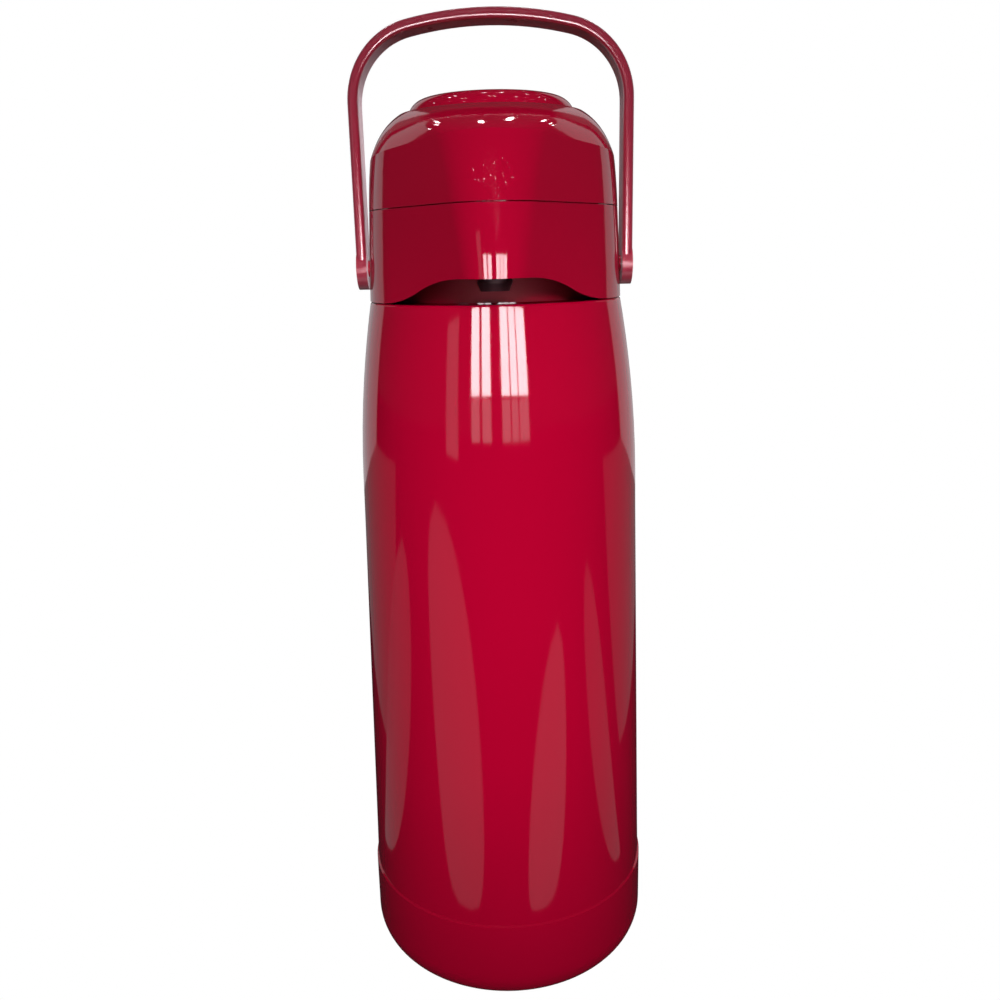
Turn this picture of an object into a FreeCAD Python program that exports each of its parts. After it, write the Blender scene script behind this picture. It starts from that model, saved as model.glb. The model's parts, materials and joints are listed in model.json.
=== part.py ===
"""Pump pot: a tall bottle with a glass vacuum flask inside, and a pump head that fits on top of it.

Pressing the domed button squeezes a bellows.  The air it pushes into the flask drives the drink up a
dip tube, through an elbow pipe and out of a nozzle under the beak.  A strap handle swings on two pins.
Millimetres, +Z up, origin on the table under the bottle's axis, the beak towards -Y.
"""

import FreeCAD
import Part
import Sketcher

import math
import os
import re

doc = FreeCAD.newDocument("pump_pot")

# Driving dimensions, one cell each
SIZES = {
    # base cup
    "base_proud": 0.7,
    "base_height": 42.0,
    "base_round": 15.0,
    "base_lip": 0.8,
    "base_floor": 3.0,
    "spigot_height": 12.0,
    # bottle shell
    "body_height": 268.0,
    "body_bottom_radius": 64.9,
    "body_taper": 3.5,
    "waist_height": 192.0,
    "shoulder_round": 470.0,
    "shell_wall": 2.2,
    "deck_thick": 2.5,
    "mouth_radius": 26.0,
    "thread_radius": 41.0,
    "thread_height": 8.0,
    "edge_break": 0.6,
    # glass flask
    "flask_room": 5.7,
    "flask_bottom": 20.0,
    "flask_heel": 38.0,
    "flask_wall_height": 182.0,
    "flask_shoulder": 36.0,
    "flask_neck_radius": 28.0,
    "flask_lip": 2.0,
    "glass_wall": 1.6,
    "vacuum_gap": 4.4,
    "gasket_thick": 3.5,
    "gasket_skirt": 9.0,
    "gasket_wall": 3.5,
    "cushion_inset": 19.0,
    "cushion_web": 5.0,
    # head shells: the plan outline is a circle drawn out into a rounded beak
    "collar_radius": 54.0,
    "collar_height": 37.0,
    "head_wall": 2.4,
    "beak_reach": 76.0,
    "beak_tip": 14.0,
    "collar_mid_height": 18.0,
    "collar_mid_radius": 53.4,
    "beak_mid_reach": 75.6,
    "beak_mid_tip": 16.5,
    "seam_radius": 52.6,
    "beak_seam_reach": 73.0,
    "beak_seam_tip": 20.0,
    "cheek_height": 9.0,
    "cheek_radius": 52.1,
    "beak_cheek_reach": 71.4,
    "beak_cheek_tip": 21.5,
    "brow_height": 19.6,
    "brow_radius": 51.0,
    "beak_brow_reach": 66.0,
    "beak_brow_tip": 26.0,
    "brow_tilt": 5.0,
    "crown_height": 31.6,
    "crown_radius": 45.2,
    "crown_reach": 54.0,
    "crown_tip": 34.0,
    "rim_height": 37.5,
    "rim_width": 3.4,
    "seam_gap": 0.4,
    "locating_lip": 3.0,
    "lip_wall": 1.6,
    "rim_nose": 0.8,
    "rim_draw": 1.0,
    "arch_height": 10.4,
    "arch_top_width": 26.0,
    "arch_foot_width": 94.0,
    "arch_sweep": 31.0,
    "head_deck_height": 25.0,
    "seat_wall_radius": 31.0,
    "hub_radius": 9.0,
    "hub_wall": 2.1,
    "seal_thick": 3.0,
    "seal_inset": 1.0,
    "air_hole_radius": 2.6,
    "air_hole_circle": 16.0,
    "air_holes": 6,
    # liquid way
    "tube_radius": 4.5,
    "tube_bore": 3.2,
    "tube_foot_gap": 5.0,
    "pipe_radius": 5.0,
    "pipe_height": 18.6,
    "pipe_bend": 8.0,
    "pipe_reach": 61.0,
    "pipe_drop": 2.6,
    "nozzle_radius": 6.6,
    "nozzle_tip_radius": 5.4,
    "nozzle_length": 5.0,
    "nozzle_taper": 3.0,
    "undercover_thick": 2.0,
    "undercover_rear": 30.0,
    # pump
    "button_radius": 34.8,
    "button_rise": 8.5,
    "button_edge": 8.0,
    "button_dome": 2.2,
    "button_wall": 2.2,
    "button_skirt": 26.0,
    "stop_flange": 1.8,
    "stop_flange_thick": 2.4,
    "plunger_radius": 9.0,
    "press_plate_radius": 25.0,
    "press_plate_thick": 2.0,
    "bellows_radius": 27.5,
    "bellows_fold_depth": 6.0,
    "bellows_wall": 1.2,
    "bellows_height": 33.0,
    "bellows_folds": 5,
    "clamp_width": 3.4,
    "clamp_thick": 2.4,
    "spring_radius": 10.5,
    "spring_wire": 1.6,
    "spring_turns": 6,
    "valve_thick": 1.2,
    "valve_inset": 3.0,
    # screws that hold the cover
    "screw_radius": 1.5,
    "screw_head_radius": 2.5,
    "screw_head_thick": 1.8,
    "screw_length": 12.0,
    "screw_circle": 46.8,
    "post_radius": 2.8,
    # strap handle
    "pivot_height": 13.8,
    "handle_side_gap": 0.3,
    "handle_apex": 114.8,
    "strap_thick": 4.4,
    "strap_width": 16.0,
    "handle_corner": 32.0,
    "handle_crown": 150.0,
    "strap_edge": 2.0,
    "eye_radius": 8.8,
    "pin_radius": 3.5,
    "pin_head_radius": 5.6,
    "pin_head_thick": 1.6,
    "pin_boss_radius": 7.0,
    "pin_boss_depth": 6.0,
    # clearances
    "running_gap": 0.05,
    "slide_gap": 0.4,
    "fit_gap": 0.3,
}

# Levels and radii that follow from them
DERIVED = {
    "collar_level": "(base_height + body_height)",
    "waist_level": "(base_height + waist_height)",
    "collar_foot": "(collar_level + seam_gap)",
    "collar_mid": "(collar_level + collar_mid_height)",
    "seam_level": "(collar_level + collar_height)",
    "cover_foot": "(seam_level + seam_gap)",
    "cheek_level": "(seam_level + cheek_height)",
    "brow_level": "(seam_level + brow_height)",
    "crown_level": "(seam_level + crown_height)",
    "rim_level": "(seam_level + rim_height)",
    "button_top": "(rim_level + button_rise)",
    "head_deck": "(collar_level + head_deck_height)",
    "head_deck_top": "(head_deck + deck_thick)",
    "pipe_level": "(collar_level + pipe_height)",
    "tube_top": "(pipe_level - pipe_bend - 2.5)",
    "hub_foot": "(collar_level + 2)",
    "pivot_level": "(collar_level + pivot_height)",
    "plate_level": "(head_deck_top + bellows_height)",
    "base_radius": "(body_bottom_radius + base_proud)",
    "body_waist_radius": "(body_bottom_radius - body_taper)",
    "flask_radius": "(body_bottom_radius - shell_wall - flask_room)",
    "cushion_radius": "(flask_radius - cushion_inset)",
    "cushion_bore": "(flask_radius - flask_heel - cushion_web)",
    "spigot_radius": "(body_bottom_radius - shell_wall - fit_gap)",
    "foot_edge": "(base_radius - base_round)",
    "flask_wall_foot": "(flask_bottom + flask_heel)",
    "flask_wall_top": "(flask_wall_foot + flask_wall_height)",
    "cushion_top": "(flask_wall_foot"
                   " - sqrt(flask_heel ^ 2 - (cushion_radius - flask_radius + flask_heel) ^ 2))",
    "lip_level": "(collar_level - deck_thick - gasket_thick)",
    "liner_radius": "(flask_radius - glass_wall - vacuum_gap)",
    "liner_bottom": "(flask_bottom + glass_wall + vacuum_gap)",
    "liner_neck": "(flask_neck_radius - glass_wall - 0.8)",
    "skirt_foot": "(rim_level - button_skirt)",
    "sleeve_foot": "(skirt_foot + stop_flange_thick + fit_gap)",
    "handle_half": "(collar_radius + handle_side_gap + strap_thick)",
    "skirt_radius": "(thread_radius + fit_gap)",
    "sleeve_radius": "(button_radius + slide_gap)",
    "rim_radius": "(sleeve_radius + rim_width)",
    "dome_radius": "(((button_radius - button_edge) ^ 2 + button_dome ^ 2) / (2 * button_dome))",
    "button_under": "(button_top - button_dome - button_wall)",
    "plunger_foot": "(plate_level + press_plate_thick)",
    "pipe_end": "(pipe_level - pipe_bend - pipe_drop)",
    "nozzle_top": "(pipe_level - pipe_bend)",
    "nozzle_foot": "(nozzle_top - nozzle_length)",
    "apex_level": "(collar_level + handle_apex)",
    "boss_start": "(collar_mid_radius - head_wall / 2 - pin_boss_depth)",
    "head_seat": "(handle_half - pin_head_thick - fit_gap)",
    "undercover_level": "(collar_level + arch_height + 1)",
}

sheet = doc.addObject("Spreadsheet::Sheet", "Sizes")
for row, (alias, number) in enumerate(SIZES.items(), start=1):
    sheet.set(f"A{row}", alias)
    sheet.set(f"B{row}", str(number))
    sheet.setAlias(f"B{row}", alias)
doc.recompute()


def bind(text):
    """The expression for a size written with the names above."""
    def swap(match):
        word = match.group(0)
        if word in DERIVED:
            return bind(DERIVED[word])
        return f"Sizes.{word}" if word in SIZES else word
    return re.sub(r"[a-z][a-z_]*", swap, str(text))


def size(text):
    """The present value of such an expression."""
    return float(sheet.evalExpression(bind(text)))


def plane(body, role):
    return next(item for item in body.Origin.OriginFeatures if item.Role == role)


def pin_point(sketch, geo, end, across, up):
    """Hold one end of a curve at a bound position."""
    if abs(size(across)) < 1e-9:
        sketch.addConstraint(Sketcher.Constraint("PointOnObject", geo, end, -2))
    else:
        row = sketch.addConstraint(Sketcher.Constraint("DistanceX", -1, 1, geo, end, size(across)))
        sketch.setExpression(f"Constraints[{row}]", bind(across))
    if abs(size(up)) < 1e-9:
        sketch.addConstraint(Sketcher.Constraint("PointOnObject", geo, end, -1))
    else:
        row = sketch.addConstraint(Sketcher.Constraint("DistanceY", -1, 1, geo, end, size(up)))
        sketch.setExpression(f"Constraints[{row}]", bind(up))


def outline(sketch, corners):
    """A closed outline; a corner's third entry is the radius of the arc that leaves it, bulging right of
    the way it runs when positive and left of it when negative."""
    spots = [FreeCAD.Vector(size(corner[0]), size(corner[1]), 0) for corner in corners]
    ends = []
    for index, corner in enumerate(corners):
        start, stop = spots[index], spots[(index + 1) % len(spots)]
        if len(corner) == 2:
            geo = sketch.addGeometry(Part.LineSegment(start, stop), False)
            ends.append((geo, 1, 2))
            continue
        side = corner[3] if len(corner) > 3 else 1
        radius = size(corner[2])
        chord = stop - start
        left = FreeCAD.Vector(-chord.y, chord.x, 0)
        left.normalize()
        middle = (start + stop) * 0.5
        centre = middle + left * (side * math.sqrt(max(radius ** 2 - chord.Length ** 2 / 4, 0)))
        circle = Part.Circle(centre, FreeCAD.Vector(0, 0, 1), radius)
        first, last = (start, stop) if side > 0 else (stop, start)
        low = math.atan2(first.y - centre.y, first.x - centre.x)
        high = math.atan2(last.y - centre.y, last.x - centre.x)
        geo = sketch.addGeometry(Part.ArcOfCircle(circle, low, high), False)
        ends.append((geo, 1, 2) if side > 0 else (geo, 2, 1))
        row = sketch.addConstraint(Sketcher.Constraint("Radius", geo, radius))
        sketch.setExpression(f"Constraints[{row}]", bind(corner[2]))
    for index, (geo, first, last) in enumerate(ends):
        following = ends[(index + 1) % len(ends)]
        sketch.addConstraint(Sketcher.Constraint("Coincident", geo, last, following[0], following[1]))
        pin_point(sketch, geo, first, corners[index][0], corners[index][1])


def turned(label, corners):
    """A piece turned about the bottle's axis from a half section of (radius, height) corners."""
    body = doc.addObject("PartDesign::Body", label)
    sketch = body.newObject("Sketcher::SketchObject", label + "_section")
    sketch.AttachmentSupport = [(plane(body, "XZ_Plane"), "")]
    sketch.MapMode = "FlatFace"
    outline(sketch, corners)
    spin = body.newObject("PartDesign::Revolution", label + "_turn")
    spin.Profile = sketch
    spin.ReferenceAxis = (sketch, ["V_Axis"])
    spin.Angle = 360
    body.Tip = spin
    return body


def place(item, across="0", along="0", up="0"):
    for axis, text in zip("xyz", (across, along, up)):
        item.setExpression(f"Placement.Base.{axis}", bind(text))


def cylinder(name, radius, length, spot=("0", "0", "0"), turn=None):
    item = doc.addObject("Part::Cylinder", name)
    item.setExpression("Radius", bind(radius))
    item.setExpression("Height", bind(length))
    if turn:
        item.Placement = FreeCAD.Placement(FreeCAD.Vector(), FreeCAD.Rotation(FreeCAD.Vector(*turn), 90))
    place(item, *spot)
    return item


def slab(name, foot, thick, front="-100", depth="200"):
    """A broad level plate used to cut the head's shells."""
    item = doc.addObject("Part::Box", name)
    item.setExpression("Length", "200")
    item.setExpression("Width", bind(depth))
    item.setExpression("Height", bind(thick))
    place(item, "-100", front, foot)
    return item


def cut(name, base, *tools):
    item = doc.addObject("Part::Cut", name)
    item.Base = base
    item.Tool = tools[0] if len(tools) == 1 else fuse(name + "_tools", *tools)
    return item


def fuse(name, *shapes):
    item = doc.addObject("Part::MultiFuse", name)
    item.Shapes = list(shapes)
    return item


def common(name, first, second):
    item = doc.addObject("Part::Common", name)
    item.Base = first
    item.Tool = second
    return item


def compound(name, *links):
    item = doc.addObject("Part::Compound", name)
    item.Links = list(links)
    return item


def mirrored(name, source):
    item = doc.addObject("Part::Mirroring", name)
    item.Source = source
    item.Normal = FreeCAD.Vector(1, 0, 0)
    return item


def tube(name, outer, wall, foot, top):
    """A plain ring about the axis between two levels."""
    rim = cylinder(name + "_outer", outer, f"{top} - {foot}", ("0", "0", foot))
    bore = cylinder(name + "_bore", f"{outer} - {wall}", f"{top} - {foot} + 2", ("0", "0", f"{foot} - 1"))
    return cut(name, rim, bore)


def beak_outline(name, level, radius, reach, tip, tilt="0"):
    """A circle about the axis and a smaller one at the beak, joined by the two lines that touch both.
    A tilt in degrees lifts the beak's end."""
    sketch = doc.addObject("Sketcher::SketchObject", name)
    big, small = size(radius), size(tip)
    centre = FreeCAD.Vector(0, -(size(reach) - small), 0)
    lean = math.acos((big - small) / -centre.y)
    right = FreeCAD.Vector(math.sin(lean), -math.cos(lean), 0)
    left = FreeCAD.Vector(-right.x, right.y, 0)
    start, stop = lean - math.pi / 2, 3 * math.pi / 2 - lean
    up = FreeCAD.Vector(0, 0, 1)
    round_back = sketch.addGeometry(Part.ArcOfCircle(Part.Circle(FreeCAD.Vector(), up, big), start, stop))
    flank_left = sketch.addGeometry(Part.LineSegment(left * big, centre + left * small))
    nose = sketch.addGeometry(
        Part.ArcOfCircle(Part.Circle(centre, up, small), stop, start + 2 * math.pi))
    flank_right = sketch.addGeometry(Part.LineSegment(centre + right * small, right * big))
    for first, second in ((round_back, flank_left), (flank_left, nose), (nose, flank_right),
                          (flank_right, round_back)):
        sketch.addConstraint(Sketcher.Constraint("Tangent", first, 2, second, 1))
    sketch.addConstraint(Sketcher.Constraint("Coincident", round_back, 3, -1, 1))
    sketch.addConstraint(Sketcher.Constraint("PointOnObject", nose, 3, -2))
    for kind, geo, text in (("Radius", round_back, radius), ("Radius", nose, tip)):
        row = sketch.addConstraint(Sketcher.Constraint(kind, geo, size(text)))
        sketch.setExpression(f"Constraints[{row}]", bind(text))
    row = sketch.addConstraint(Sketcher.Constraint("DistanceY", nose, 3, -1, 1, -centre.y))
    sketch.setExpression(f"Constraints[{row}]", bind(f"{reach} - ({tip})"))
    sketch.Placement.Rotation = FreeCAD.Rotation(FreeCAD.Vector(1, 0, 0), -size(tilt))
    place(sketch, up=level)
    return sketch


def beak_loft(name, stations, inset):
    """A loft through beak outlines, drawn in on every side by the inset."""
    sections = [beak_outline(f"{name}_{index}", level, f"{radius} - {inset}", f"{reach} - {inset}",
                             f"{tip} - {inset}", *tilt)
                for index, (level, radius, reach, tip, *tilt) in enumerate(stations)]
    item = doc.addObject("Part::Loft", name)
    item.Sections = sections
    item.Solid = True
    return item


NODES = []

# Base cup: a round-edged cup that screws into the foot of the bottle and stands on a flat foot
NODES.append(turned("base_cup", [
    ("0", "0"),
    ("foot_edge", "0", "base_round"),
    ("base_radius", "base_round"),
    ("base_radius", "base_height - base_lip"),
    ("base_radius - base_lip", "base_height"),
    ("spigot_radius", "base_height"),
    ("spigot_radius", "base_height + spigot_height"),
    ("spigot_radius - shell_wall", "base_height + spigot_height"),
    ("spigot_radius - shell_wall", "base_round", "base_round - shell_wall", -1),
    ("spigot_radius - base_round", "base_floor"),
    ("0", "base_floor"),
]))

# Bottle shell: a barrel that narrows to a shoulder, with a deck, a filling mouth and a neck ring on top
NODES.append(turned("bottle_shell", [
    ("body_bottom_radius", "base_height"),
    ("body_waist_radius", "waist_level", "shoulder_round"),
    ("collar_radius", "collar_level - edge_break"),
    ("collar_radius - edge_break", "collar_level"),
    ("thread_radius", "collar_level"),
    ("thread_radius", "collar_level + thread_height"),
    ("thread_radius - shell_wall", "collar_level + thread_height"),
    ("thread_radius - shell_wall", "collar_level"),
    ("mouth_radius", "collar_level"),
    ("mouth_radius", "collar_level - deck_thick"),
    ("collar_radius - shell_wall", "collar_level - deck_thick", "shoulder_round - shell_wall", -1),
    ("body_waist_radius - shell_wall", "waist_level"),
    ("body_bottom_radius - shell_wall", "base_height"),
]))


def flask(label, radius, bottom, heel, neck, top, lip):
    """A blown glass: dished bottom, straight wall, round shoulder and neck.  The lip turns outwards."""
    wall_top = "flask_wall_top"
    bend = "flask_shoulder"
    knee = (f"{radius} - {bend} / 2", f"{wall_top} + {bend} * 0.866")
    inner_knee = (f"{radius} - {bend} / 2 - glass_wall / 2", f"{wall_top} + ({bend} - glass_wall) * 0.866")
    throat = f"{wall_top} + {bend} * 0.866 + {radius} - {bend} / 2 - {neck}"
    corners = [
        ("0", bottom),
        (f"{radius} - {heel}", bottom, heel),
        (radius, "flask_wall_foot"),
        (radius, wall_top, bend),
        knee,
        (neck, throat),
        (neck, f"{top}"),
    ]
    if lip:
        corners[-1] = (neck, f"{top} - flask_lip")
        corners += [("flask_neck_radius", f"{top} - flask_lip"), ("flask_neck_radius", top)]
    corners += [
        (f"{neck} - glass_wall", top),
        (f"{neck} - glass_wall", f"{throat} - glass_wall / 2"),
        inner_knee[:2] + (f"{bend} - glass_wall", -1),
        (f"{radius} - glass_wall", wall_top),
        (f"{radius} - glass_wall", "flask_wall_foot", f"{heel} - glass_wall", -1),
        (f"{radius} - {heel}", f"{bottom} + glass_wall"),
        ("0", f"{bottom} + glass_wall"),
    ]
    return turned(label, corners)


# The two glasses of the vacuum flask, joined at the lip
NODES.append(flask("flask_outer_glass", "flask_radius", "flask_bottom", "flask_heel", "flask_neck_radius",
                   "(lip_level - flask_lip)", False))
NODES.append(flask("flask_inner_glass", "liner_radius", "liner_bottom",
                   "(flask_heel - glass_wall - vacuum_gap)", "liner_neck", "lip_level", True))

# Rubber under and over the flask: a cushion in the cup, a gasket between the lip and the deck
NODES.append(turned("flask_cushion", [
    ("cushion_bore", "base_floor"),
    ("cushion_radius", "base_floor"),
    ("cushion_radius", "cushion_top", "flask_heel", -1),
    ("flask_radius - flask_heel", "flask_bottom"),
    ("cushion_bore", "flask_bottom"),
]))
NODES.append(turned("neck_gasket", [
    ("liner_neck - glass_wall", "lip_level"),
    ("flask_neck_radius + fit_gap", "lip_level"),
    ("flask_neck_radius + fit_gap", "lip_level - gasket_skirt"),
    ("flask_neck_radius + gasket_wall", "lip_level - gasket_skirt"),
    ("flask_neck_radius + gasket_wall", "lip_level + gasket_thick"),
    ("liner_neck - glass_wall", "lip_level + gasket_thick"),
]))

# Collar: the lower half of the head, with the pump deck across it and an arch cut under the beak
collar_stations = [
    ("collar_foot", "collar_radius", "beak_reach", "beak_tip"),
    ("collar_mid", "collar_mid_radius", "beak_mid_reach", "beak_mid_tip"),
    ("seam_level", "seam_radius", "beak_seam_reach", "beak_seam_tip"),
]
collar_block = beak_loft("collar_block", collar_stations, "0")
collar_room = beak_loft("collar_room", collar_stations, "head_wall")
collar_void = cut("collar_void", collar_room, slab("deck_slab", "head_deck", "deck_thick"))
collar_wall = cut("collar_wall", collar_block, collar_void)
deck_bite = "(head_deck + 0.5)"
neck_skirt = tube("neck_skirt", "(skirt_radius + head_wall)", "head_wall", "collar_foot", deck_bite)
seat_wall = tube("seat_wall", "seat_wall_radius", "head_wall", "(collar_level + seal_thick)", deck_bite)
hub = tube("hub", "hub_radius", "hub_wall", "hub_foot", deck_bite)
pin_boss = cylinder("pin_boss", "pin_boss_radius", "pin_boss_depth",
                    ("boss_start", "0", "pivot_level"), (0, 1, 0))
collar_blank = fuse("collar_blank", collar_wall, neck_skirt, seat_wall, hub, pin_boss,
                    mirrored("pin_boss_other", pin_boss))

arch_body = doc.addObject("PartDesign::Body", "arch")
arch_sketch = arch_body.newObject("Sketcher::SketchObject", "arch_outline")
arch_sketch.AttachmentSupport = [(plane(arch_body, "XZ_Plane"), "")]
arch_sketch.MapMode = "FlatFace"
outline(arch_sketch, [
    ("-arch_foot_width / 2", "collar_level - 2"),
    ("arch_foot_width / 2", "collar_level - 2"),
    ("arch_foot_width / 2", "collar_foot", "arch_sweep", -1),
    ("(arch_foot_width + arch_top_width) / 4", "collar_level + arch_height / 2", "arch_sweep"),
    ("arch_top_width / 2", "collar_level + arch_height"),
    ("-arch_top_width / 2", "collar_level + arch_height", "arch_sweep"),
    ("-(arch_foot_width + arch_top_width) / 4", "collar_level + arch_height / 2", "arch_sweep", -1),
    ("-arch_foot_width / 2", "collar_foot"),
])
arch_pad = arch_body.newObject("PartDesign::Pad", "arch_pad")
arch_pad.Profile = arch_sketch
arch_pad.setExpression("Length", bind("2 * body_bottom_radius"))
arch_body.Tip = arch_pad


def around(name, source, count):
    """Copies of a drill or post, evenly turned about the axis."""
    copies = []
    for index in range(count):
        copy = doc.addObject("Part::Cylinder", f"{name}_{index}")
        angle = 360.0 / count * (index + 0.5)
        copy.setExpression("Radius", bind(source[0]))
        copy.setExpression("Height", bind(source[1]))
        place(copy, f"({source[2]}) * cos({angle})", f"({source[2]}) * sin({angle})", source[3])
        copies.append(copy)
    return copies


air_holes = around("air_hole", ("air_hole_radius", "deck_thick + 2", "air_hole_circle", "head_deck - 1"),
                   int(size("air_holes")))
screw_holes = around("screw_hole", ("screw_radius + fit_gap / 2", "deck_thick + 2", "screw_circle",
                                    "head_deck - 1"), 4)
pipe_way = cylinder("pipe_way", "pipe_radius + 2 * fit_gap", "skirt_radius + head_wall + 2",
                    ("0", "0", "pipe_level"), (1, 0, 0))
pin_bore = cylinder("pin_bore", "pin_radius", "pin_boss_depth + 10", ("boss_start - 1", "0", "pivot_level"),
                    (0, 1, 0))
arch_cut = cut("arch_cut", arch_body, cylinder("arch_back", "skirt_radius + head_wall + fit_gap", "60",
                                               ("0", "0", "collar_level - 10")))
NODES.append(cut("collar", collar_blank, arch_cut, pipe_way, pin_bore, mirrored("pin_bore_other", pin_bore),
                 *air_holes, *screw_holes))

# Top cover: cheeks that carry the beak up to a brow, then a crown that rounds in to the button's rim
cheek_stations = [
    ("cover_foot", "seam_radius", "beak_seam_reach", "beak_seam_tip"),
    ("cheek_level", "cheek_radius", "beak_cheek_reach", "beak_cheek_tip"),
    ("brow_level", "brow_radius", "beak_brow_reach", "beak_brow_tip", "brow_tilt"),
]
crown_stations = [
    ("brow_level", "brow_radius", "beak_brow_reach", "beak_brow_tip", "brow_tilt"),
    ("crown_level", "crown_radius", "crown_reach", "crown_tip"),
    ("rim_level", "rim_radius", "(rim_radius + rim_nose)", "(rim_radius - rim_draw)"),
]
vault_stations = [
    ("brow_level", "brow_radius", "beak_brow_reach", "beak_brow_tip", "brow_tilt"),
    ("(crown_level - head_wall / 2)", "crown_radius", "crown_reach", "crown_tip"),
    ("(rim_level - head_wall)", "rim_radius", "(rim_radius + rim_nose)", "(rim_radius - rim_draw)"),
]
seam_outline = ("seam_radius", "beak_seam_reach", "beak_seam_tip")
lip_stations = [
    ("(seam_level - locating_lip)", *seam_outline),
    ("(seam_level + locating_lip)", *seam_outline),
]
root_stations = [("cover_foot", *seam_outline), ("(seam_level + locating_lip)", *seam_outline)]
cover_block = fuse("cover_block", beak_loft("cheek_block", cheek_stations, "0"),
                   beak_loft("crown_block", crown_stations, "0"))
cover_room = fuse("cover_room", beak_loft("cheek_room", cheek_stations, "head_wall"),
                  beak_loft("vault_room", vault_stations, "head_wall"))
cover_wall = cut("cover_wall", cover_block, cover_room)
cover_lip = cut("cover_lip", beak_loft("lip_block", lip_stations, "(head_wall + fit_gap)"),
                beak_loft("lip_room", lip_stations, "(head_wall + fit_gap + lip_wall)"))
root_ring = cut("root_ring", beak_loft("root_block", root_stations, "(head_wall / 2)"),
                beak_loft("root_room", root_stations, "(head_wall + fit_gap + lip_wall)"))
lip_root = common("lip_root", root_ring, cover_block)
sleeve = tube("sleeve", "(sleeve_radius + shell_wall)", "shell_wall", "sleeve_foot", "(rim_level - 1)")
posts = around("post", ("post_radius", "seam_level + cheek_height - head_deck_top", "screw_circle",
                        "head_deck_top"), 4)
cover_blank = fuse("cover_blank", cover_wall, cover_lip, lip_root, sleeve, *posts)
button_bore = cylinder("button_bore", "sleeve_radius", "button_skirt + 2", ("0", "0", "sleeve_foot - 1"))
pilots = around("pilot", ("screw_radius", "screw_length", "screw_circle", "head_deck_top - 1"), 4)
NODES.append(cut("top_cover", cover_blank, button_bore, *pilots))

# Four screws up through the pump deck into the cover's posts
shanks = around("shank", ("screw_radius", "screw_length - 1", "screw_circle", "head_deck - 0.5"), 4)
screw_heads = around("screw_head", ("screw_head_radius", "screw_head_thick", "screw_circle",
                                    "head_deck - screw_head_thick"), 4)
NODES.append(compound("cover_screws", *[fuse(f"cover_screw_{index}", shank, screw_head)
                                        for index, (shank, screw_head) in enumerate(zip(shanks, screw_heads))]))

# Seal between the pump seat and the bottle's deck
NODES.append(turned("mouth_seal", [
    ("seat_wall_radius - head_wall - seal_inset", "collar_level"),
    ("seat_wall_radius", "collar_level"),
    ("seat_wall_radius", "collar_level + seal_thick"),
    ("seat_wall_radius - head_wall - seal_inset", "collar_level + seal_thick"),
]))

# Liquid way: dip tube, its rubber sleeve, the elbow pipe, the nozzle and the plate under the beak
tube_foot = "liner_bottom + glass_wall + tube_foot_gap"
NODES.append(turned("dip_tube", [
    ("tube_bore", tube_foot),
    ("tube_radius", tube_foot),
    ("tube_radius", "tube_top"),
    ("tube_bore", "tube_top"),
]))
NODES.append(turned("tube_sleeve", [
    ("tube_radius", "hub_foot"),
    ("hub_radius - hub_wall", "hub_foot"),
    ("hub_radius - hub_wall", "tube_top"),
    ("tube_radius", "tube_top"),
]))

pipe_body = doc.addObject("PartDesign::Body", "spout_pipe")
way = pipe_body.newObject("Sketcher::SketchObject", "pipe_way_line")
way.AttachmentSupport = [(plane(pipe_body, "YZ_Plane"), "")]
way.MapMode = "FlatFace"
bend, reach = size("pipe_bend"), size("pipe_reach")
level, top, end = size("pipe_level"), size("tube_top"), size("pipe_end")
up = FreeCAD.Vector(0, 0, 1)
rise = way.addGeometry(Part.LineSegment(FreeCAD.Vector(0, top, 0), FreeCAD.Vector(0, level - bend, 0)))
first_bend = way.addGeometry(
    Part.ArcOfCircle(Part.Circle(FreeCAD.Vector(-bend, level - bend, 0), up, bend), 0, math.pi / 2))
run = way.addGeometry(
    Part.LineSegment(FreeCAD.Vector(-bend, level, 0), FreeCAD.Vector(bend - reach, level, 0)))
last_bend = way.addGeometry(
    Part.ArcOfCircle(Part.Circle(FreeCAD.Vector(bend - reach, level - bend, 0), up, bend),
                     math.pi / 2, math.pi))
fall = way.addGeometry(
    Part.LineSegment(FreeCAD.Vector(-reach, level - bend, 0), FreeCAD.Vector(-reach, end, 0)))
for first, second in ((rise, first_bend), (first_bend, run), (run, last_bend), (last_bend, fall)):
    way.addConstraint(Sketcher.Constraint("Tangent", first, 2, second, 1))
way.addConstraint(Sketcher.Constraint("Horizontal", run))
pin_point(way, rise, 1, "0", "tube_top")
way.addConstraint(Sketcher.Constraint("PointOnObject", rise, 2, -2))
pin_point(way, fall, 2, "-pipe_reach", "pipe_end")
for geo in (first_bend, last_bend):
    row = way.addConstraint(Sketcher.Constraint("Radius", geo, bend))
    way.setExpression(f"Constraints[{row}]", bind("pipe_bend"))
row = way.addConstraint(Sketcher.Constraint("DistanceY", -1, 1, run, 1, level))
way.setExpression(f"Constraints[{row}]", bind("pipe_level"))
for kind, radius in (("PartDesign::AdditivePipe", "pipe_radius"),
                     ("PartDesign::SubtractivePipe", "tube_bore")):
    ring = pipe_body.newObject("Sketcher::SketchObject", radius + "_ring")
    ring.AttachmentSupport = [(plane(pipe_body, "XY_Plane"), "")]
    ring.MapMode = "FlatFace"
    ring.setExpression("AttachmentOffset.Base.z", bind("tube_top"))
    ring.addGeometry(Part.Circle(FreeCAD.Vector(), up, size(radius)))
    ring.addConstraint(Sketcher.Constraint("Coincident", 0, 3, -1, 1))
    row = ring.addConstraint(Sketcher.Constraint("Radius", 0, size(radius)))
    ring.setExpression(f"Constraints[{row}]", bind(radius))
    sweep = pipe_body.newObject(kind, radius + "_sweep")
    sweep.Profile = ring
    sweep.Spine = (way, [f"Edge{index}" for index in range(1, 6)])
    pipe_body.Tip = sweep
NODES.append(pipe_body)

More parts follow.
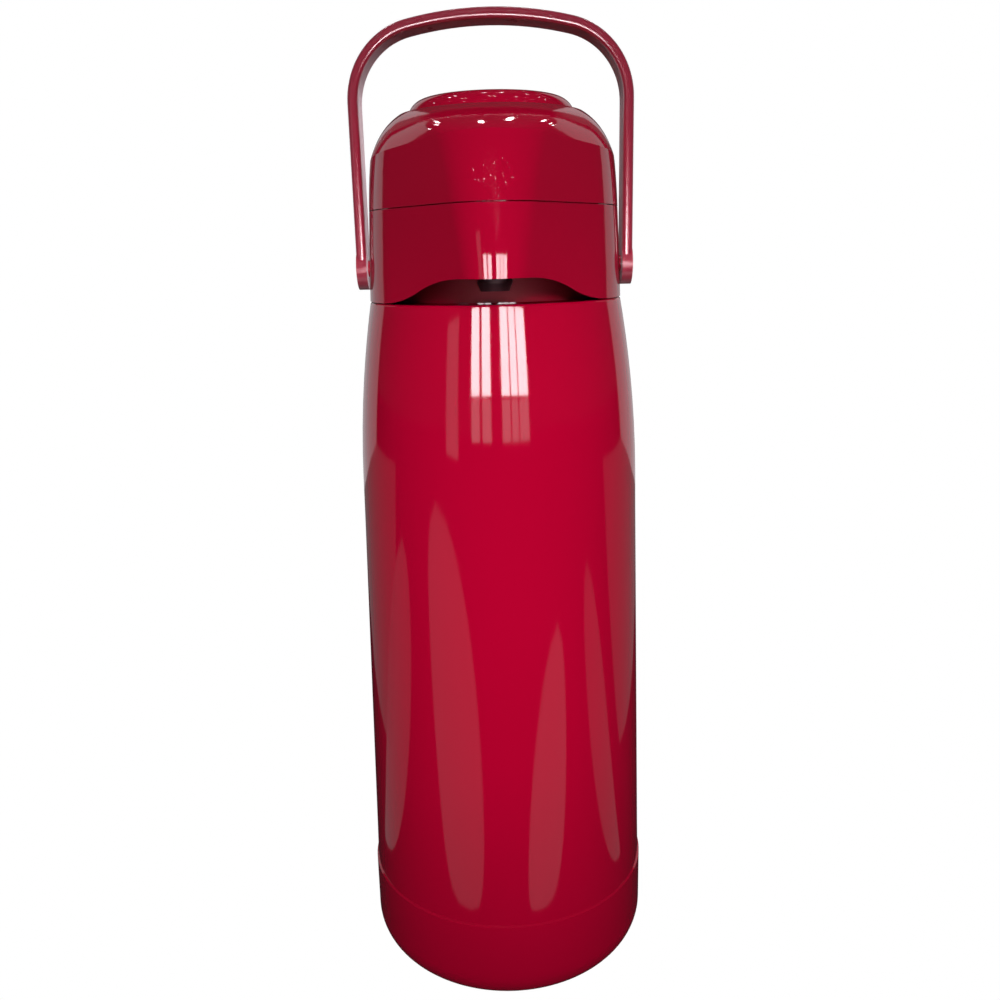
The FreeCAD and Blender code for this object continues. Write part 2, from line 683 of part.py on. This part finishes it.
nozzle = turned("spout_nozzle", [
    ("tube_bore", "nozzle_foot"),
    ("nozzle_tip_radius", "nozzle_foot"),
    ("nozzle_radius", "nozzle_foot + nozzle_taper"),
    ("nozzle_radius", "nozzle_top"),
    ("pipe_radius", "nozzle_top"),
    ("pipe_radius", "pipe_end"),
    ("tube_bore", "pipe_end"),
])
place(nozzle, along="-pipe_reach")
NODES.append(nozzle)

plate_blank = common("undercover_blank",
                     beak_loft("undercover_block", collar_stations, "(head_wall + fit_gap)"),
                     slab("undercover_slab", "undercover_level", "undercover_thick", "-2 * body_bottom_radius",
                          "2 * body_bottom_radius - undercover_rear"))
NODES.append(cut("spout_undercover", plate_blank,
                 cylinder("undercover_back", "skirt_radius + head_wall + fit_gap", "60",
                          ("0", "0", "collar_level")),
                 cylinder("undercover_hole", "nozzle_radius + fit_gap", "60",
                          ("0", "-pipe_reach", "collar_level"))))

# Pump: bellows clamped to the deck, return spring inside it, flap valve below, press plate and button above
folds = int(size("bellows_folds"))
fold_foot = "(head_deck_top + bellows_wall)"
fold_pitch = f"((bellows_height - 2 * bellows_wall) / {folds})"
valley = "(bellows_radius - bellows_fold_depth)"
zigzag = []
for fold in range(folds):
    zigzag.append((valley, f"{fold_foot} + {fold} * {fold_pitch}"))
    zigzag.append(("bellows_radius", f"{fold_foot} + {fold + 0.5} * {fold_pitch}"))
skin = [(f"{valley} - bellows_wall", "head_deck_top"), ("bellows_radius + clamp_width", "head_deck_top"),
        ("bellows_radius + clamp_width", fold_foot)]
skin += zigzag
skin += [(valley, "plate_level - bellows_wall"), (valley, "plate_level"), ("0", "plate_level"),
         ("0", "plate_level - bellows_wall"), (f"{valley} - bellows_wall", "plate_level - bellows_wall")]
skin += [(f"{radius} - bellows_wall", height) for radius, height in reversed(zigzag)]
NODES.append(turned("bellows", skin))
NODES.append(turned("bellows_clamp", [
    ("bellows_radius + fit_gap", fold_foot),
    ("bellows_radius + clamp_width", fold_foot),
    ("bellows_radius + clamp_width", f"{fold_foot} + clamp_thick"),
    ("bellows_radius + fit_gap", f"{fold_foot} + clamp_thick"),
]))
NODES.append(turned("air_valve_flap", [
    ("hub_radius + fit_gap", "head_deck - valve_thick"),
    ("seat_wall_radius - head_wall - valve_inset", "head_deck - valve_thick"),
    ("seat_wall_radius - head_wall - valve_inset", "head_deck"),
    ("hub_radius + fit_gap", "head_deck"),
]))
NODES.append(turned("press_plate", [
    ("0", "plate_level"),
    ("press_plate_radius", "plate_level"),
    ("press_plate_radius", "plunger_foot"),
    ("0", "plunger_foot"),
]))
NODES.append(turned("push_button", [
    ("button_radius - button_wall", "skirt_foot"),
    ("button_radius + stop_flange", "skirt_foot"),
    ("button_radius + stop_flange", "skirt_foot + stop_flange_thick"),
    ("button_radius", "skirt_foot + stop_flange_thick"),
    ("button_radius", "button_top - button_dome - button_edge", "button_edge"),
    ("button_radius - button_edge", "button_top - button_dome", "dome_radius"),
    ("0", "button_top"),
    ("0", "plunger_foot"),
    ("plunger_radius", "plunger_foot"),
    ("plunger_radius", "button_under"),
    ("button_radius - button_edge", "button_under"),
    ("button_radius - button_wall", "button_under - button_edge"),
]))

turns = size("spring_turns")
spring_foot = size("head_deck_top + spring_wire / 2 + 0.1")
spring_length = size("bellows_height - bellows_wall - spring_wire - 0.2")


def on_coil(turn):
    angle = 2 * math.pi * turn
    radius = size("spring_radius")
    return FreeCAD.Vector(radius * math.cos(angle), radius * math.sin(angle),
                          spring_foot + spring_length * turn / turns)


coil = Part.Wire([Part.Arc(on_coil(step / 4), on_coil(step / 4 + 0.125), on_coil(step / 4 + 0.25)).toShape()
                  for step in range(int(4 * turns))])
along = on_coil(0.001) - on_coil(0)
pipe = Part.BRepOffsetAPI.MakePipeShell(coil)
pipe.add(Part.Wire(Part.makeCircle(size("spring_wire / 2"), on_coil(0), along)))
pipe.build()
pipe.makeSolid()
spring = doc.addObject("Part::Feature", "return_spring")
spring.Shape = pipe.shape()
NODES.append(spring)

# Strap handle: one arched strap with an eye at each end, and the headed pins it swings on
strap = doc.addObject("PartDesign::Body", "strap")
arc_line = strap.newObject("Sketcher::SketchObject", "strap_outline")
arc_line.AttachmentSupport = [(plane(strap, "XZ_Plane"), "")]
arc_line.MapMode = "FlatFace"
half, thick, corner, crown = size("handle_half"), size("strap_thick"), size("handle_corner"), size("handle_crown")
foot, apex = size("pivot_level"), size("apex_level")
corner_across = half - corner
crown_up = apex - crown
corner_up = crown_up + math.sqrt((crown - corner) ** 2 - corner_across ** 2)
tilt = math.atan2(corner_up - crown_up, corner_across)
chains = []
for inset in (0, thick):
    crown_arc = Part.Circle(FreeCAD.Vector(0, crown_up, 0), up, crown - inset)
    right_arc = Part.Circle(FreeCAD.Vector(corner_across, corner_up, 0), up, corner - inset)
    left_arc = Part.Circle(FreeCAD.Vector(-corner_across, corner_up, 0), up, corner - inset)
    chains.append([
        arc_line.addGeometry(Part.LineSegment(FreeCAD.Vector(half - inset, foot, 0),
                                              FreeCAD.Vector(half - inset, corner_up, 0))),
        arc_line.addGeometry(Part.ArcOfCircle(right_arc, 0, tilt)),
        arc_line.addGeometry(Part.ArcOfCircle(crown_arc, tilt, math.pi - tilt)),
        arc_line.addGeometry(Part.ArcOfCircle(left_arc, math.pi - tilt, math.pi)),
        arc_line.addGeometry(Part.LineSegment(FreeCAD.Vector(inset - half, corner_up, 0),
                                              FreeCAD.Vector(inset - half, foot, 0))),
    ])
outer, inner = chains
right_end = arc_line.addGeometry(Part.LineSegment(FreeCAD.Vector(half - thick, foot, 0),
                                                  FreeCAD.Vector(half, foot, 0)))
left_end = arc_line.addGeometry(Part.LineSegment(FreeCAD.Vector(-half, foot, 0),
                                                 FreeCAD.Vector(thick - half, foot, 0)))
for chain in chains:
    for first, second in zip(chain, chain[1:]):
        arc_line.addConstraint(Sketcher.Constraint("Tangent", first, 2, second, 1))
    for leg in (chain[0], chain[4]):
        arc_line.addConstraint(Sketcher.Constraint("Vertical", leg))
for index in (1, 2, 3):
    arc_line.addConstraint(Sketcher.Constraint("Coincident", outer[index], 3, inner[index], 3))
arc_line.addConstraint(Sketcher.Constraint("Coincident", right_end, 1, inner[0], 1))
arc_line.addConstraint(Sketcher.Constraint("Coincident", right_end, 2, outer[0], 1))
arc_line.addConstraint(Sketcher.Constraint("Coincident", left_end, 1, outer[4], 2))
arc_line.addConstraint(Sketcher.Constraint("Coincident", left_end, 2, inner[4], 2))
arc_line.addConstraint(Sketcher.Constraint("Horizontal", right_end))
arc_line.addConstraint(Sketcher.Constraint("Horizontal", left_end))
arc_line.addConstraint(Sketcher.Constraint("PointOnObject", outer[2], 3, -2))
for kind, first, place_of, text in (
        ("Radius", outer[1], None, "handle_corner"), ("Radius", outer[3], None, "handle_corner"),
        ("Radius", outer[2], None, "handle_crown"), ("Radius", inner[1], None, "handle_corner - strap_thick"),
        ("DistanceX", outer[0], 1, "handle_half"), ("DistanceX", outer[4], 2, "-handle_half"),
        ("DistanceY", outer[0], 1, "pivot_level"), ("DistanceY", outer[4], 2, "pivot_level"),
        ("DistanceY", outer[2], 3, "apex_level - handle_crown")):
    if place_of is None:
        row = arc_line.addConstraint(Sketcher.Constraint(kind, first, size(text)))
    else:
        row = arc_line.addConstraint(Sketcher.Constraint(kind, -1, 1, first, place_of, size(text)))
    arc_line.setExpression(f"Constraints[{row}]", bind(text))
strap_pad = strap.newObject("PartDesign::Pad", "strap_pad")
strap_pad.Profile = arc_line
strap_pad.setExpression("Length", bind("strap_width"))
strap_pad.SideType = "Symmetric"
strap.Tip = strap_pad
doc.recompute()
side = size("strap_width") / 2
long_edges = [f"Edge{index}" for index, edge in enumerate(strap_pad.Shape.Edges, start=1)
              if abs(abs(edge.CenterOfMass.y) - side) < 1e-6]
strap_round = strap.newObject("PartDesign::Fillet", "strap_round")
strap_round.Base = (strap_pad, long_edges)
strap_round.setExpression("Radius", bind("strap_edge"))
strap.Tip = strap_round

eye = cylinder("eye", "eye_radius", "strap_thick", ("handle_half - strap_thick", "0", "pivot_level"), (0, 1, 0))
eye_bore = cylinder("eye_bore", "pin_radius + running_gap", "strap_thick + 4",
                    ("handle_half - strap_thick - 2", "0", "pivot_level"), (0, 1, 0))
eye_sink = cylinder("eye_sink", "pin_head_radius + fit_gap", "4", ("head_seat - running_gap", "0", "pivot_level"),
                    (0, 1, 0))
NODES.append(cut("carry_handle", fuse("handle_blank", strap, eye, mirrored("eye_other", eye)), eye_bore, eye_sink,
                 mirrored("eye_bore_other", eye_bore), mirrored("eye_sink_other", eye_sink)))

pin_shank = cylinder("pin_shank", "pin_radius", "head_seat - boss_start + 0.5", ("boss_start", "0", "pivot_level"),
                     (0, 1, 0))
pin_head = cylinder("pin_head", "pin_head_radius", "pin_head_thick", ("head_seat", "0", "pivot_level"), (0, 1, 0))
pin = fuse("handle_pin", pin_shank, pin_head)
NODES.append(compound("handle_pins", pin, mirrored("handle_pin_other", pin)))

# Every piece is checked, then written to its own file
doc.recompute()
for item in doc.Objects:
    if "Invalid" in item.State or "Error" in item.State:
        raise RuntimeError(f"{item.Name} did not build: {item.State}")
os.makedirs("parts", exist_ok=True)
for node in NODES:
    if node.Shape.isNull() or not node.Shape.isValid():
        raise RuntimeError(f"{node.Name} has no sound shape")
    node.Label = node.Name
    node.Shape.exportStep(f"parts/{node.Name}.step")
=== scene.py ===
import json
import math

import bpy
from mathutils import Euler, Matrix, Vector


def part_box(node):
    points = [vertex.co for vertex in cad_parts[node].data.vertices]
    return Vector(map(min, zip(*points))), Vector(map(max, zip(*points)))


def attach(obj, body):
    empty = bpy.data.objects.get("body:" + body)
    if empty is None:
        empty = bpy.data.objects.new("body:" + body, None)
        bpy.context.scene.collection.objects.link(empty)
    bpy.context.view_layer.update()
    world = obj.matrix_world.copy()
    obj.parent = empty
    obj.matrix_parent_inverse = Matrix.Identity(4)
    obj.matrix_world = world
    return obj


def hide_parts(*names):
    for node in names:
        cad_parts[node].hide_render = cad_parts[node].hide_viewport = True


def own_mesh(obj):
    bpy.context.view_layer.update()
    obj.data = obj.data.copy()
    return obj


# Pump pot on a white floor, seen from the front: red gloss plastic outside, a silvered glass flask and a
# rubber bellows inside.  Metres, +Z up, the beak towards -Y.

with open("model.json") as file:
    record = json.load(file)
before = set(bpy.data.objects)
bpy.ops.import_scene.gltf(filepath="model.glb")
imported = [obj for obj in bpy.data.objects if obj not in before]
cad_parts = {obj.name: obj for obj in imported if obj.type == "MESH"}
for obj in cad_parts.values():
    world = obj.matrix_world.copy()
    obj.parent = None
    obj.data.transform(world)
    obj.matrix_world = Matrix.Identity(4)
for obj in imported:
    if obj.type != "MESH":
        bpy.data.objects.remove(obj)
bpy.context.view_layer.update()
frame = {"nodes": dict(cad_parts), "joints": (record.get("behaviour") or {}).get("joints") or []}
nodes = frame["nodes"]
scene = bpy.context.scene
scene.view_settings.view_transform = "Standard"

# Noise of the red plastics: a slow drift of colour, fine wear in the gloss and a faint ripple of the mould.
# Most noise lies between NOISE_LOW and NOISE_HIGH, which map to the ends of a roughness range.
DRIFT_SCALE, DRIFT_DETAIL = 9.0, 2.0
WEAR_SCALE, WEAR_DETAIL = 55.0, 4.0
RIPPLE_SCALE, RIPPLE_DETAIL = 26.0, 2.0
NOISE_LOW, NOISE_HIGH = 0.3, 0.7


class Socket:
    """A shader value that can be added, scaled and mixed like a number."""

    def __init__(self, tree, output):
        self.tree, self.output = tree, output

    def math(self, operation, *values):
        node = self.tree.nodes.new("ShaderNodeMath")
        node.operation = operation
        for place, value in enumerate((self, *values)):
            if isinstance(value, Socket):
                self.tree.links.new(value.output, node.inputs[place])
            else:
                node.inputs[place].default_value = value
        return Socket(self.tree, node.outputs[0])

    def __add__(self, other):
        return self.math("ADD", other)

    def __mul__(self, other):
        return self.math("MULTIPLY", other)

    def ramp(self, low, high, first, last):
        node = self.tree.nodes.new("ShaderNodeMapRange")
        for place, value in enumerate((low, high, first, last), start=1):
            node.inputs[place].default_value = value
        self.tree.links.new(self.output, node.inputs[0])
        return Socket(self.tree, node.outputs[0])


class Paint:
    """One material: a principled shader with procedural noise in object space."""

    def __init__(self, name, roughness=0.4, metallic=0.0, **constants):
        self.material = bpy.data.materials.new(name)
        self.material.use_nodes = True
        self.tree = self.material.node_tree
        self.shader = self.tree.nodes["Principled BSDF"]
        self.shader.inputs["Roughness"].default_value = roughness
        self.shader.inputs["Metallic"].default_value = metallic
        for socket, value in constants.items():
            self.shader.inputs[socket.replace("_", " ")].default_value = value
        self.place = self.tree.nodes.new("ShaderNodeTexCoord").outputs["Object"]

    def axis_distance(self):
        """Distance from the pot's upright axis in metres."""
        flat = self.tree.nodes.new("ShaderNodeVectorMath")
        flat.operation = "MULTIPLY"
        flat.inputs[1].default_value = (1, 1, 0)
        self.tree.links.new(self.place, flat.inputs[0])
        length = self.tree.nodes.new("ShaderNodeVectorMath")
        length.operation = "LENGTH"
        self.tree.links.new(flat.outputs["Vector"], length.inputs[0])
        return Socket(self.tree, length.outputs["Value"])

    def noise(self, scale, detail=3.0):
        node = self.tree.nodes.new("ShaderNodeTexNoise")
        node.inputs["Scale"].default_value = scale
        node.inputs["Detail"].default_value = detail
        self.tree.links.new(self.place, node.inputs["Vector"])
        return Socket(self.tree, node.outputs["Fac"])

    def wander(self, low, high, scale, detail=3.0):
        """Noise that wanders between two values."""
        return self.noise(scale, detail).ramp(NOISE_LOW, NOISE_HIGH, low, high)

    def colour(self, factor, first, second):
        mix = self.tree.nodes.new("ShaderNodeMix")
        mix.data_type = "RGBA"
        mix.inputs[6].default_value = (*first, 1)
        mix.inputs[7].default_value = (*second, 1)
        self.tree.links.new(factor.output, mix.inputs[0])
        self.tree.links.new(mix.outputs[2], self.shader.inputs["Base Color"])
        return self

    def rough(self, value):
        self.tree.links.new(value.output, self.shader.inputs["Roughness"])
        return self

    def bump(self, height, strength, distance):
        node = self.tree.nodes.new("ShaderNodeBump")
        node.inputs["Strength"].default_value = strength
        node.inputs["Distance"].default_value = distance
        self.tree.links.new(height.output, node.inputs["Height"])
        self.tree.links.new(node.outputs["Normal"], self.shader.inputs["Normal"])
        return self


def dress(paint, *names):
    for name in names:
        mesh = nodes[name].data
        mesh.materials.clear()
        mesh.materials.append(paint.material)


def red_plastic(name, ior=1.5, coat=0.25, **constants):
    """Gloss plastic with a faint moulding ripple."""
    paint = Paint(name, IOR=ior, Coat_Weight=coat, Coat_Roughness=0.04, **constants)
    return paint.bump(paint.noise(RIPPLE_SCALE, RIPPLE_DETAIL), 0.05, 0.0006)


# Red gloss plastic of the outer shells: deep crimson, nearly even, with roughness that wanders a little
# as on a handled surface.
red = red_plastic("red_gloss")
red.colour(red.noise(DRIFT_SCALE, DRIFT_DETAIL), (0.42, 0.0, 0.022), (0.50, 0.0, 0.03))
red.rough(red.wander(0.05, 0.10, WEAR_SCALE, WEAR_DETAIL))
dress(red, "base_cup", "bottle_shell", "top_cover", "push_button", "handle_pins", "spout_undercover")

# The handle has a satin lacquer, so its narrow edges catch a broad pale sheen.  Its red is also painted a
# little paler and pinker than the shells' red: painted sheen for the pale reflections along the handle.
lacquer_and_painted_sheen = red_plastic("red_lacquer_painted_sheen", ior=2.7, Sheen_Weight=0.7, Sheen_Roughness=0.4,
                      Sheen_Tint=(1.0, 0.82, 0.88, 1))
# Paler, pinker red: the handle's own red with painted sheen mixed in.
lacquer_and_painted_sheen.colour(lacquer_and_painted_sheen.noise(DRIFT_SCALE, DRIFT_DETAIL), (0.40, 0.016, 0.05), (0.48, 0.022, 0.06))
lacquer_and_painted_sheen.rough(lacquer_and_painted_sheen.wander(0.26, 0.34, WEAR_SCALE, WEAR_DETAIL))
dress(lacquer_and_painted_sheen, "carry_handle")

# The collar is the same outside, but matt inside its wall, and there its red is painted darker: painted
# shade for the shadow in the hollow under the beak.  The change comes at the radius of the wall's inner
# face.
COLLAR_INSIDE, COLLAR_BLEND = 0.0519, 0.0004
collar = red_plastic("red_collar_painted_shade", coat=0.0)
painted_shade_inside = collar.axis_distance().ramp(COLLAR_INSIDE, COLLAR_INSIDE + COLLAR_BLEND, 1.0, 0.0)
# The darker second red is painted shade; the drift noise adds a little random tone.
collar.colour(collar.noise(DRIFT_SCALE, DRIFT_DETAIL) * 0.1 + painted_shade_inside * 0.9,
              (0.46, 0.0, 0.026), (0.19, 0.003, 0.014))
collar.rough(collar.wander(0.05, 0.10, WEAR_SCALE, WEAR_DETAIL) + painted_shade_inside * 0.6)
dress(collar, "collar")

# Silvered glass of the flask, shown as its mirror coat, slightly uneven.
silver = Paint("silvered_glass", metallic=1.0)
silver.colour(silver.noise(14.0), (0.80, 0.82, 0.83), (0.90, 0.91, 0.91))
silver.rough(silver.wander(0.05, 0.12, 30.0, 4.0))
dress(silver, "flask_outer_glass", "flask_inner_glass")

# Grey rubber of the cushion, gasket, seal, sleeve, flap and bellows.
rubber = Paint("grey_rubber", Specular_IOR_Level=0.3)
rubber.colour(rubber.noise(120.0, 5.0), (0.10, 0.10, 0.105), (0.15, 0.15, 0.155))
rubber.rough(rubber.wander(0.55, 0.75, 60.0))
rubber.bump(rubber.noise(600.0), 0.15, 0.0003)
dress(rubber, "flask_cushion", "neck_gasket", "mouth_seal", "tube_sleeve", "air_valve_flap", "bellows")

# Milky plastic of the tube, pipe, clamp and press plate.
milky = Paint("milky_plastic", Subsurface_Weight=0.1)
milky.colour(milky.noise(40.0), (0.72, 0.72, 0.68), (0.80, 0.80, 0.76))
milky.rough(milky.wander(0.35, 0.5, 80.0))
dress(milky, "dip_tube", "spout_pipe", "bellows_clamp", "press_plate")

# Dark satin plastic of the nozzle.
dark = Paint("dark_plastic", Specular_IOR_Level=0.15)
dark.colour(dark.noise(60.0), (0.016, 0.004, 0.006), (0.026, 0.007, 0.010))
dark.rough(dark.wander(0.5, 0.65, 90.0))
dress(dark, "spout_nozzle")

# Bright steel of the spring and the screws.
steel = Paint("bright_steel", metallic=1.0)
steel.colour(steel.noise(200.0), (0.50, 0.50, 0.51), (0.62, 0.62, 0.62))
steel.rough(steel.wander(0.22, 0.38, 300.0))
dress(steel, "return_spring", "cover_screws")

# The bellows and its spring shorten as the button goes down: each is shown by a copy that hangs from the
# head, and the part itself is hidden.
press = next(joint for joint in frame["joints"] if joint["name"] == "button_press")
bellows_foot, bellows_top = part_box("bellows")
left_over = 1 - press["range_m"][1] / (bellows_top.z - bellows_foot.z)
for name, slot in (("bellows", "grey_rubber"), ("return_spring", "spring_steel")):
    piece = bpy.data.objects.new("soft_" + name, nodes[name].data.copy())
    scene.collection.objects.link(piece)
    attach(piece, "head")
    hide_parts(name)
    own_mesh(piece)

# Studio.  Cards that lie on the floor are lifted by CARD_LIFT, and most cards have four corners.
FLOOR_SIZE = 12.0
CARD_LIFT = 0.001
QUAD = [(0, 1, 2, 3)]


def stage_plane(name, size, spot):
    """A flat square that belongs to the studio."""
    bpy.ops.mesh.primitive_plane_add(size=size, location=spot)
    item = bpy.context.object
    item.name = name
    return item


def by_ray(name, seen, lit, mirrored):
    """A surface with one look for the camera, one for scattered light and one for reflections."""
    material = bpy.data.materials.new(name)
    material.use_nodes = True
    tree = material.node_tree
    tree.nodes.remove(tree.nodes["Principled BSDF"])
    rays = tree.nodes.new("ShaderNodeLightPath")
    looks = []
    for kind, colour in (lit, mirrored, seen):
        node = tree.nodes.new(kind)
        node.inputs[0].default_value = (*colour, 1)
        looks.append(node.outputs[0])
    result = looks[0]
    for ray, look in (("Is Glossy Ray", looks[1]), ("Is Camera Ray", looks[2])):
        mix = tree.nodes.new("ShaderNodeMixShader")
        tree.links.new(rays.outputs[ray], mix.inputs[0])
        tree.links.new(result, mix.inputs[1])
        tree.links.new(look, mix.inputs[2])
        result = mix.outputs[0]
    tree.links.new(result, tree.nodes["Material Output"].inputs["Surface"])
    return material


def mirror_card(name, glow, corners, faces):
    """A bright shape that only reflections meet, built from corner points in metres."""
    mesh = bpy.data.meshes.new(name)
    mesh.from_pydata(corners, [], faces)
    item = bpy.data.objects.new(name, mesh)
    scene.collection.objects.link(item)
    clear = ("ShaderNodeBsdfTransparent", (1, 1, 1))
    mesh.materials.append(by_ray(name, clear, clear, ("ShaderNodeEmission", glow)))


def upright_card(name, glow, place, left, right, low_edge, high_edge):
    """A mirror card that stands upright and faces along Y."""
    mirror_card(name, glow, [(left, place, low_edge), (right, place, low_edge),
                             (right, place, high_edge), (left, place, high_edge)], QUAD)


def aim(item, spot, target):
    """Puts a light at a spot and points it at a target."""
    item.location = spot
    item.rotation_euler = (Vector(target) - Vector(spot)).to_track_quat("-Z", "Y").to_euler()


def lamp(name, spot, target, width, height, power):
    """A soft rectangular light aimed at a point, without its own reflection."""
    data = bpy.data.lights.new(name, "AREA")
    data.shape = "RECTANGLE"
    data.size, data.size_y, data.energy = width, height, power
    item = bpy.data.objects.new(name, data)
    aim(item, spot, target)
    item.visible_glossy = False
    scene.collection.objects.link(item)


# The floor is white for the camera and dark for reflections, as in a dim room.
floor = stage_plane("floor", FLOOR_SIZE, (0, 0, 0))
floor.data.materials.append(by_ray("studio_floor", ("ShaderNodeEmission", (1, 1, 1)),
                                   ("ShaderNodeBsdfDiffuse", (0.16, 0.145, 0.145)),
                                   ("ShaderNodeEmission", (0.03, 0.01, 0.014))))

# So is the space round it.
world = bpy.data.worlds.new("studio")
scene.world = world
world.use_nodes = True
sky = world.node_tree
back = sky.nodes["Background"]
back.inputs["Color"].default_value = (0.035, 0.034, 0.036, 1)
white = sky.nodes.new("ShaderNodeBackground")
white.inputs["Color"].default_value = (1, 1, 1, 1)
seen = sky.nodes.new("ShaderNodeLightPath")
blend = sky.nodes.new("ShaderNodeMixShader")
sky.links.new(seen.outputs["Is Camera Ray"], blend.inputs[0])
sky.links.new(back.outputs[0], blend.inputs[1])
sky.links.new(white.outputs[0], blend.inputs[2])
sky.links.new(blend.outputs[0], sky.nodes["World Output"].inputs["Surface"])

# Window close in front of the pot: a pair and a group of three panes, bright above and dim below, which
# show at the top of the bottle and at the lower edge of the beak.
WINDOW_PLACE = -0.157
for left, right in ((-0.049, -0.033), (-0.028, -0.012), (0.0075, 0.022), (0.0245, 0.037), (0.039, 0.058)):
    for low_edge, high_edge, glow in ((0.252, 0.280, 1.6), (0.2826, 0.342, 16.0)):
        upright_card(f"pane_{left}_{low_edge}", (glow, glow * 0.97, glow), WINDOW_PLACE,
                     left, right, low_edge, high_edge)

# Pale walls behind on both sides and a fainter glow on the floor before them, which light the grazing
# edges of the handle and the bottle.
WALL_PLACE, WALL_INNER, WALL_OUTER, WALL_TOP = 0.9, 0.3, 1.6, 1.3
GLOW_PLACE, GLOW_INNER = 0.05, 0.25
for side in (-1, 1):
    upright_card(f"back_wall_{side}", (0.55, 0.52, 0.54), WALL_PLACE,
                 side * WALL_INNER, side * WALL_OUTER, 0.0, WALL_TOP)
    mirror_card(f"floor_glow_{side}", (0.16, 0.14, 0.145),
                [(side * GLOW_INNER, GLOW_PLACE, CARD_LIFT), (side * WALL_OUTER, GLOW_PLACE, CARD_LIFT),
                 (side * WALL_OUTER, WALL_PLACE, CARD_LIFT), (side * GLOW_INNER, WALL_PLACE, CARD_LIFT)],
                QUAD)

# A tall pale shelf far off to the left, which draws a faint streak beside the window's reflection.
SHELF_PLACE = -1.6
upright_card("shelf", (0.7, 0.66, 0.7), SHELF_PLACE, -1.44, -1.0, 0.05, 0.8)

# Small shop lamps overhead and in front, in rows that are shifted a little, that glint on the lid and
# the beak.
LAMP_HALF, LAMP_SHIFT = 0.023, 0.11
LAMP_GLOW = (45.0, 42.0, 44.0)
for across in (-1.3, -0.9, -0.5, -0.15, 0.2, 0.6, 1.0, 1.4):
    for along, height in ((0.9, 1.5), (0.4, 1.8), (-0.3, 2.0), (-1.0, 2.0), (-1.7, 1.75), (-1.7, 1.35)):
        shift = LAMP_SHIFT * math.sin(9 * across + 5 * height + 3 * along)
        mirror_card(f"shop_lamp_{across}_{along}_{height}", LAMP_GLOW,
                    [(across + shift + x * LAMP_HALF, along + y * LAMP_HALF, height - y * LAMP_HALF + shift)
                     for x, y in ((-1, -1), (1, -1), (1, 1), (-1, 1))], QUAD)

# Leaf-shaped light patches on the floor round the pot: azimuth of the middle from -Y, how far the leaf
# leans on its way out, its half width, all in degrees, how far it runs in metres, and its glow.
LEAF_STEPS = 16
LEAF_START, LEAF_BLUNTNESS = 0.13, 0.6
for name, middle, lean, span, run, glow in (
        ("patch_left", -38, -28, 18, 0.95, 0.36), ("patch_right", 30, 26, 13, 0.42, 0.42),
        ("patch_side", -94, 16, 15, 0.70, 0.22), ("patch_far", 78, -14, 10, 0.60, 0.22)):
    corners = []
    for step in range(LEAF_STEPS + 1):
        way = step / LEAF_STEPS
        reach = LEAF_START + run * way ** 2
        half = span * math.sin(math.pi * way) ** LEAF_BLUNTNESS
        for edge in (-1, 1):
            angle = math.radians(middle + lean * (way - 0.5) + edge * half)
            corners.append((reach * math.sin(angle), -reach * math.cos(angle), CARD_LIFT))
    leaf = [(2 * step, 2 * step + 2, 2 * step + 3, 2 * step + 1) for step in range(LEAF_STEPS)]
    mirror_card(name, (glow, glow * 0.96, glow), corners, leaf)

# Soft lights: name, place, target, width, height and power in watts.
lamp("left_strip", (-0.55, 0.02, 0.13), (0, 0, 0.2), 0.06, 0.24, 0.16)
lamp("right_strip", (0.60, 0.10, 0.13), (0, 0, 0.2), 0.05, 0.24, 0.12)
lamp("key", (-0.10, -1.45, 1.25), (0, 0, 0.22), 0.6, 0.6, 6.5)
lamp("top_panel", (0.1, 0.7, 1.5), (0, 0, 0.35), 0.7, 0.7, 5)
lamp("back_fill", (0.5, 1.6, 0.8), (0, 0, 0.2), 0.6, 0.6, 14)

# A soft pool of light on the bottle's belly, so that the head and the foot stay darker.
POOL_PLACE, POOL_TARGET = (0.2, -1.5, 0.75), (0, 0, 0.2)
POOL_CONE_DEGREES = 12.8
pool = bpy.data.lights.new("pool", "SPOT")
pool.energy = 232
pool.spot_size = math.radians(POOL_CONE_DEGREES)
pool.spot_blend = 1.0
pool.shadow_soft_size = 0.2
spot = bpy.data.objects.new("pool", pool)
aim(spot, POOL_PLACE, POOL_TARGET)
spot.visible_glossy = False
scene.collection.objects.link(spot)

# Camera: close, level with the collar, looking down a little, with the photo's slight tilt.
CAMERA_PLACE = (0, -0.4275, 0.3301)
DIP_DEGREES, TILT_DEGREES = 14.55, -1.33
camera = bpy.data.objects.new("camera", bpy.data.cameras.new("camera"))
camera.data.lens = 34.56
camera.data.sensor_width = 36.0
camera.location = CAMERA_PLACE
dip = Euler((math.radians(90 - DIP_DEGREES), 0, 0)).to_matrix()
tilt = Euler((0, 0, math.radians(TILT_DEGREES))).to_matrix()
camera.rotation_euler = (dip @ tilt).to_euler()
scene.collection.objects.link(camera)
scene.camera = camera
